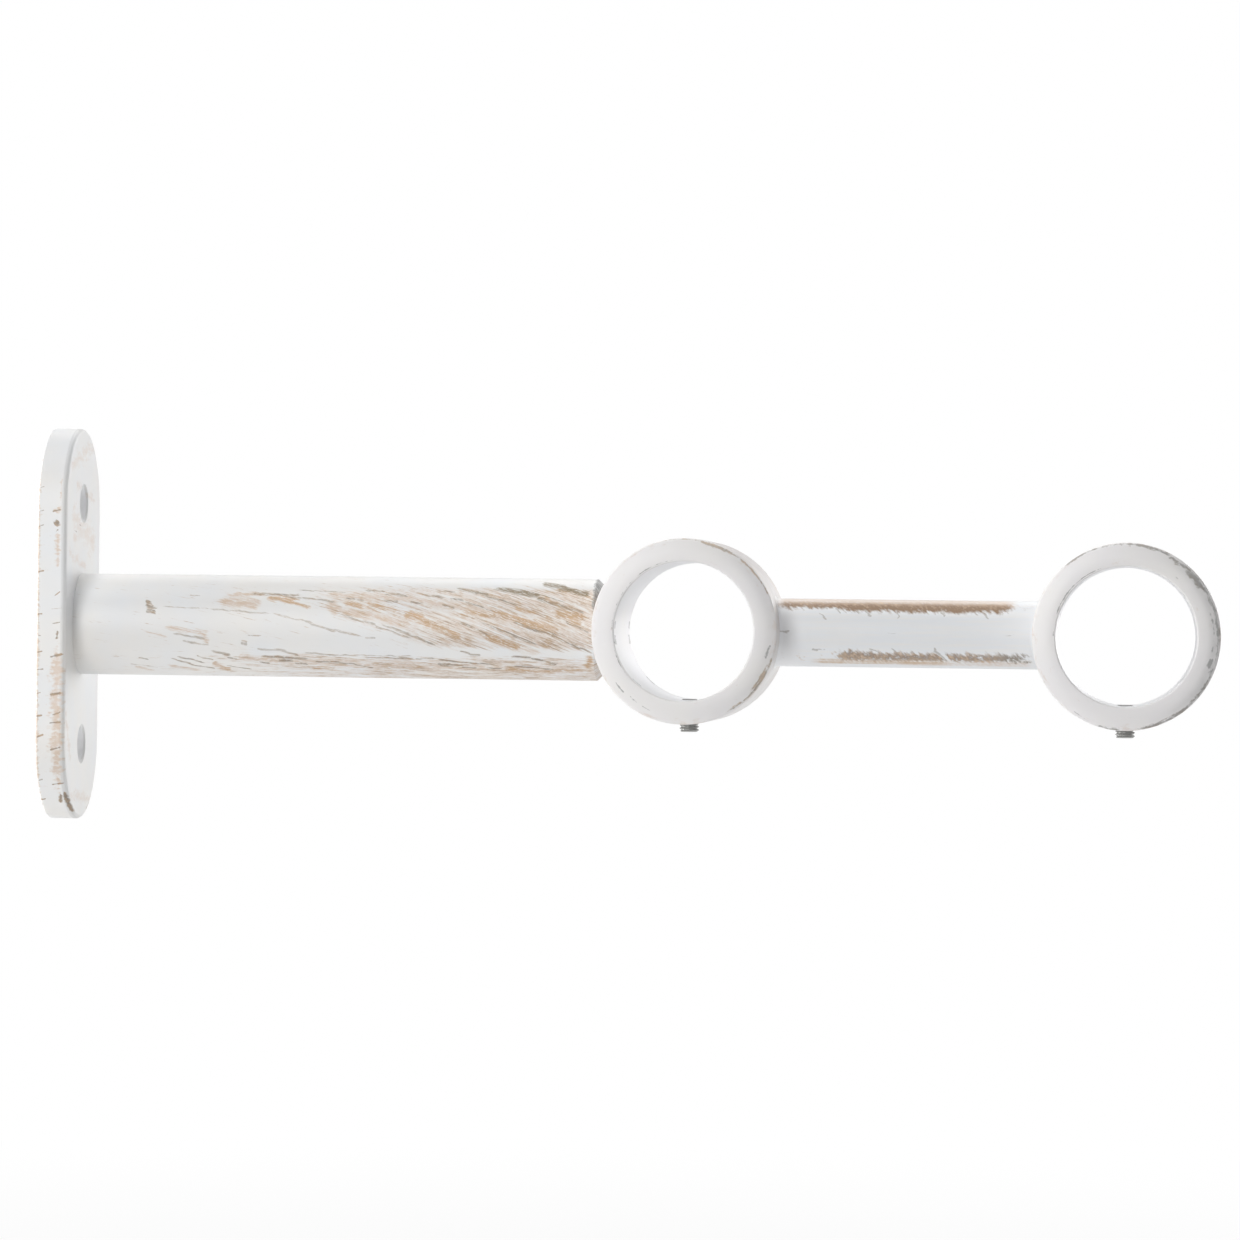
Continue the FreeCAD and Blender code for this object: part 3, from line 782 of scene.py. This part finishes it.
def plate_paint():
    """White paint with short scratches across the plate's side and scuffs on its face, painted light in its
    holes, and dull paint with painted shade on its rear face.
    """
    material, tree, shader, place = start_material("scratched_plate_paint")
    x, y, z = place.parts()
    along_poles = -abs(y)
    past_straight = (abs(z) - (PLATE_HEIGHT - PLATE_WIDTH) / 2).most(0.0)
    from_middle = y.across_from(past_straight)
    side = from_middle.smooth(PLATE_WIDTH / 2 - 0.9, PLATE_WIDTH / 2 - 0.2)
    side_spot = x.joined(z, x, 0.0)
    face_spot = x.joined(y, z, 0.0)
    front = x.smooth(PLATE_THICKNESS - 0.6, PLATE_THICKNESS - 0.1) * (1 - side)
    scratches = x.joined(x * 0.35, z * 1.7, along_poles * 0.03).swing(detail=4.0, roughness=0.6)
    scuffs = x.joined(along_poles * 0.28, z * 0.8, 2.0).swing(detail=4.0, roughness=0.62)
    blots = place.scaled(0.6, 0.6, 0.6).swing(detail=3.0, roughness=0.55)
    specks = x.joined(x * 1.3, z * 1.8, along_poles * 1.3).swing(detail=3.0, roughness=0.6)
    side_brown = worn_strokes(side_spot, PLATE_SIDE_BROWN) + specks * 0.3 + scratches * 0.15
    side_rubbed = worn_strokes(side_spot, PLATE_SIDE_RUBBED).most(-1.0) + scratches * 0.45 + specks * 0.5
    face_brown = worn_strokes(face_spot, PLATE_FACE_BROWN) + specks * 0.3
    face_rubbed = worn_strokes(face_spot, PLATE_FACE_RUBBED).most(-1.0) + scuffs * 0.45 + specks * 0.25
    # Painted light: brighter white inside the wall holes, whose walls lie in shade
    from_hole = y.across_from(abs(z) - WALL_HOLE_HEIGHT)
    hole_light = from_hole.smooth(WALL_HOLE_RADIUS + 0.15, WALL_HOLE_RADIUS - 0.1)
    # The rear face: dull paint, darkened also as painted shade where the lamp from the left falls hardest
    back = x.smooth(0.12, 0.02) * from_middle.smooth(PLATE_WIDTH / 2 - 0.1, PLATE_WIDTH / 2 - 0.6)
    rubbed_tone = (blots * 0.3 + specks * 0.3 + 0.3).blend(THIN_PAINT, PALE_BRONZE)
    front_line = x.between(PLATE_THICKNESS - 0.7, PLATE_THICKNESS - 0.3, 0.25) * side
    worn = [
        (front_line * 0.25, GREY_METAL, 0.2),
        (back * (0.7 + blots * 0.05), DULL_PAINT_AND_SHADE, 0.3),
        (side_rubbed.smooth(-0.4, 1.2) * side * 0.85, rubbed_tone, 0.4),
        (face_rubbed.smooth(-0.5, 1.2) * front * 0.65, THIN_PAINT, 0.3),
        (side_brown.smooth(0.0, 0.75) * side * 0.9, (specks * 0.4 + 0.35).blend(DEEP_BROWN, GOLD), 1.0),
        (face_brown.smooth(0.0, 0.9) * front * 0.85, BROWN, 1.0),
        (hole_light, PAINTED_LIGHT_WHITE, 0.0),
    ]
    paint_fields(tree, shader, place, cloudy_paint(place, 0.4), worn)
    return material


def screw_steel(name, base, dark, grain_rates):
    """Turned steel with fine tool marks and darker grease in cloudy patches.

    The grain's rates are tool marks to a millimetre along each axis, most of them along the screw."""
    material, tree, shader, place = start_material(name)
    grain = place.scaled(*grain_rates).noise(detail=3.0, roughness=0.6)
    stain = place.scaled(0.7, 0.7, 0.7).noise(detail=3.0, roughness=0.6)
    colour = (stain.smooth(0.45, 0.75) * 0.6).blend(base, dark)
    rough = STEEL_ROUGHNESS + grain * 0.2 + stain * 0.1
    bump = (grain * 0.6 + stain * 0.2).bump(STEEL_BUMP_STRENGTH, STEEL_BUMP_HEIGHT)
    shader.inputs["Metallic"].default_value = 1.0
    feed(tree, shader, Base_Color=colour, Roughness=rough, Normal=bump)
    return material


def deselect_all():
    for thing in bpy.context.selected_objects:
        thing.select_set(False)


def pick(piece):
    """Select one piece alone and make it the active one."""
    deselect_all()
    piece.select_set(True)
    bpy.context.view_layer.objects.active = piece


def edit(piece):
    """Open a piece for editing, with nothing in it selected."""
    pick(piece)
    bpy.ops.object.mode_set(mode="EDIT")
    bpy.ops.mesh.select_mode(type="VERT")
    bpy.ops.mesh.select_all(action="DESELECT")


def close_edit():
    bpy.ops.object.mode_set(mode="OBJECT")


def select_faces(piece, wanted):
    """Select the faces of the piece in edit mode that wanted picks."""
    bpy.ops.mesh.select_mode(type="FACE")
    mesh = bmesh.from_edit_mesh(piece.data)
    for face in mesh.faces:
        face.select_set(wanted(face))
    mesh.select_flush_mode()
    bmesh.update_edit_mesh(piece.data)


def apply_modifier(piece, kind, settings):
    """Add a modifier with its settings and make it part of the mesh."""
    modifier = piece.modifiers.new("shaping", kind)
    for name, value in settings.items():
        setattr(modifier, name, value)
    pick(piece)
    bpy.ops.object.modifier_apply(modifier="shaping")


def thread_rod(name, radius, pitch, length):
    """A closed rod with a real helical thread, standing on the origin."""
    depth = THREAD_DEPTH * pitch
    turns = math.ceil(length / pitch) + 2
    bpy.ops.mesh.primitive_plane_add(size=pitch * MM, location=(0, 0, 0))
    rod = bpy.context.active_object
    rod.name = name
    edit(rod)
    bpy.ops.mesh.select_all(action="SELECT")
    bpy.ops.mesh.merge(type="CENTER")
    bpy.ops.transform.translate(value=((radius - depth) * MM, 0, -THREAD_START * pitch * MM))
    root = THREAD_ROOT * pitch
    crest = THREAD_CREST * pitch
    flank = (pitch - root - crest) / 2
    for out, up in ((0, root), (depth, flank), (0, crest), (-depth, flank)):
        bpy.ops.mesh.extrude_region_move(TRANSFORM_OT_translate={"value": (out * MM, 0, up * MM)})
    close_edit()
    apply_modifier(rod, "SCREW", {
        "axis": "Z",
        "angle": math.tau,
        "screw_offset": pitch * MM,
        "iterations": turns,
        "steps": THREAD_STEPS,
        "render_steps": THREAD_STEPS,
        "use_merge_vertices": True,
        "merge_threshold": SEAM_MERGE * MM,
    })
    edit(rod)
    bpy.ops.mesh.select_all(action="SELECT")
    bpy.ops.mesh.remove_doubles(threshold=ROD_MERGE * MM)
    for height, outward in ((0, -1), (length, 1)):
        bpy.ops.mesh.select_all(action="SELECT")
        bpy.ops.mesh.bisect(
            plane_co=(0, 0, height * MM),
            plane_no=(0, 0, outward),
            use_fill=True,
            clear_outer=True,
            threshold=CUT_EXACTNESS * MM,
        )
    bpy.ops.mesh.select_all(action="SELECT")
    bpy.ops.mesh.normals_make_consistent(inside=False)
    close_edit()
    return rod


def blank(radius, length, low_chamfer, high_chamfer, high_radius):
    """The plain round blank that a thread is cut from, chamfered at its foot and pointed at its head."""
    bpy.ops.mesh.primitive_cylinder_add(
        vertices=ROUND_SIDES,
        radius=(radius - low_chamfer) * MM,
        depth=low_chamfer * MM,
        location=(0, 0, low_chamfer / 2 * MM),
    )
    body = bpy.context.active_object
    edit(body)
    select_faces(body, lambda face: face.calc_center_median().z > 0 and face.normal.z > 0.5)
    wide = radius / (radius - low_chamfer)
    bpy.ops.transform.resize(value=(wide, wide, 1))
    bpy.ops.mesh.extrude_region_move(
        TRANSFORM_OT_translate={"value": (0, 0, (length - low_chamfer - high_chamfer) * MM)}
    )
    bpy.ops.mesh.extrude_region_move(TRANSFORM_OT_translate={"value": (0, 0, high_chamfer * MM)})
    narrow = high_radius / radius
    bpy.ops.transform.resize(value=(narrow, narrow, 1))
    close_edit()
    return body


def hexagon_key(across_flats, depth):
    """A six-sided cutter for a socket, from below a screw's foot to the socket's depth."""
    height = depth + CUTTER_OVERSHOOT
    bpy.ops.mesh.primitive_cylinder_add(
        vertices=6,
        radius=across_flats / math.sqrt(3) * MM,
        depth=height * MM,
        location=(0, 0, (depth - height / 2) * MM),
    )
    return bpy.context.active_object


def cut_with(piece, other, operation):
    """Join, cut or keep the shared part of two closed pieces, and remove the second."""
    apply_modifier(piece, "BOOLEAN", {"operation": operation, "object": other, "solver": "EXACT"})
    pick(other)
    bpy.ops.object.delete()


def dress(piece, material):
    piece.data.materials.clear()
    piece.data.materials.append(material)


def settle(piece, material, node):
    """Put a finished screw's place into its mesh, smooth it, and let it stand for its node."""
    pick(piece)
    bpy.ops.object.transform_apply(location=True, rotation=True, scale=True)
    bpy.ops.object.shade_smooth_by_angle(angle=math.radians(SMOOTH_ANGLE))
    dress(piece, material)
    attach(piece, "root")
    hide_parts(node)


def add_grub_screws():
    """The two headless screws: threaded, with a chamfered point up and a hexagon socket below."""
    length = GRUB_TIP_Z - GRUB_OUTER_END_Z
    steel = screw_steel("dark_screw_steel", DARK_SCREW_STEEL, SOOT, (2.0, 2.0, 9.0))
    first = thread_rod("threaded_inner_grub_screw", GRUB_RADIUS, GRUB_PITCH, length)
    shape = blank(GRUB_RADIUS, length, GRUB_END_CHAMFER, GRUB_POINT_LENGTH, GRUB_POINT_RADIUS)
    cut_with(first, shape, "INTERSECT")
    cut_with(first, hexagon_key(GRUB_SOCKET_ACROSS_FLATS, GRUB_SOCKET_DEPTH), "DIFFERENCE")
    second = first.copy()
    second.data = first.data.copy()
    second.name = "threaded_outer_grub_screw"
    bpy.context.scene.collection.objects.link(second)
    first.location = (INNER_REACH * MM, 0, GRUB_OUTER_END_Z * MM)
    second.location = (OUTER_REACH * MM, 0, GRUB_OUTER_END_Z * MM)
    settle(first, steel, "inner_grub_screw")
    settle(second, steel, "outer_grub_screw")


def add_plate_screw():
    """The countersunk socket screw behind the plate, with its thread in the stem."""
    head_length = PLATE_SCREW_HEAD_RADIUS - PLATE_SCREW_RADIUS
    plain = head_length + PLATE_SCREW_PLAIN_NECK
    threaded = PLATE_SCREW_LENGTH - plain
    screw = thread_rod("threaded_plate_screw", PLATE_SCREW_RADIUS, PLATE_SCREW_PITCH, threaded)
    shape = blank(
        PLATE_SCREW_RADIUS,
        threaded,
        PLATE_SCREW_THREAD_CHAMFER,
        PLATE_SCREW_POINT_CHAMFER,
        PLATE_SCREW_RADIUS - PLATE_SCREW_POINT_CHAMFER,
    )
    cut_with(screw, shape, "INTERSECT")
    screw.location = (0, 0, plain * MM)
    pick(screw)
    bpy.ops.object.transform_apply(location=True, rotation=False, scale=False)
    bpy.ops.mesh.primitive_cylinder_add(
        vertices=ROUND_SIDES,
        radius=PLATE_SCREW_HEAD_RADIUS * MM,
        depth=head_length * MM,
        location=(0, 0, head_length / 2 * MM),
    )
    head = bpy.context.active_object
    edit(head)
    select_faces(head, lambda face: face.normal.z > 0.5)
    narrow = PLATE_SCREW_RADIUS / PLATE_SCREW_HEAD_RADIUS
    bpy.ops.transform.resize(value=(narrow, narrow, 1))
    shank = plain + SHANK_OVERLAP - head_length
    bpy.ops.mesh.extrude_region_move(TRANSFORM_OT_translate={"value": (0, 0, shank * MM)})
    close_edit()
    cut_with(screw, head, "UNION")
    key = hexagon_key(PLATE_SCREW_SOCKET_ACROSS_FLATS, PLATE_SCREW_SOCKET_DEPTH)
    cut_with(screw, key, "DIFFERENCE")
    screw.location = (PLATE_SCREW_RECESS * MM, 0, 0)
    screw.rotation_euler = (0, math.radians(90), 0)
    zinc = screw_steel("zinc_plated_steel", ZINC, GREY_METAL, (9.0, 2.0, 2.0))
    settle(screw, zinc, "plate_screw")


def main():
    bpy.context.scene.view_settings.view_transform = "Standard"
    deselect_all()
    add_camera()
    add_world()
    add_floor()
    add_lamps()
    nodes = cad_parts
    dress(nodes["wall_plate"], plate_paint())
    dress(nodes["stem"], stem_paint())
    dress(nodes["neck_rod"], neck_paint())
    inner = ring_paint(
        "worn_inner_ring_paint",
        reach=INNER_REACH,
        edge_lines=INNER_RING_EDGE,
        grey_lines=INNER_RING_GREY,
        edge_colours=(OLIVE_BROWN, PALE_BRONZE),
        side_shade_depth=0.14,
    )
    outer = ring_paint(
        "worn_outer_ring_paint",
        reach=OUTER_REACH,
        edge_lines=OUTER_RING_EDGE,
        grey_lines=OUTER_RING_GREY,
        edge_colours=(GREY_METAL, OLIVE_BROWN),
        side_shade_depth=0.36,
    )
    dress(nodes["inner_ring"], inner)
    dress(nodes["outer_ring"], outer)
    add_grub_screws()
    add_plate_screw()


main()
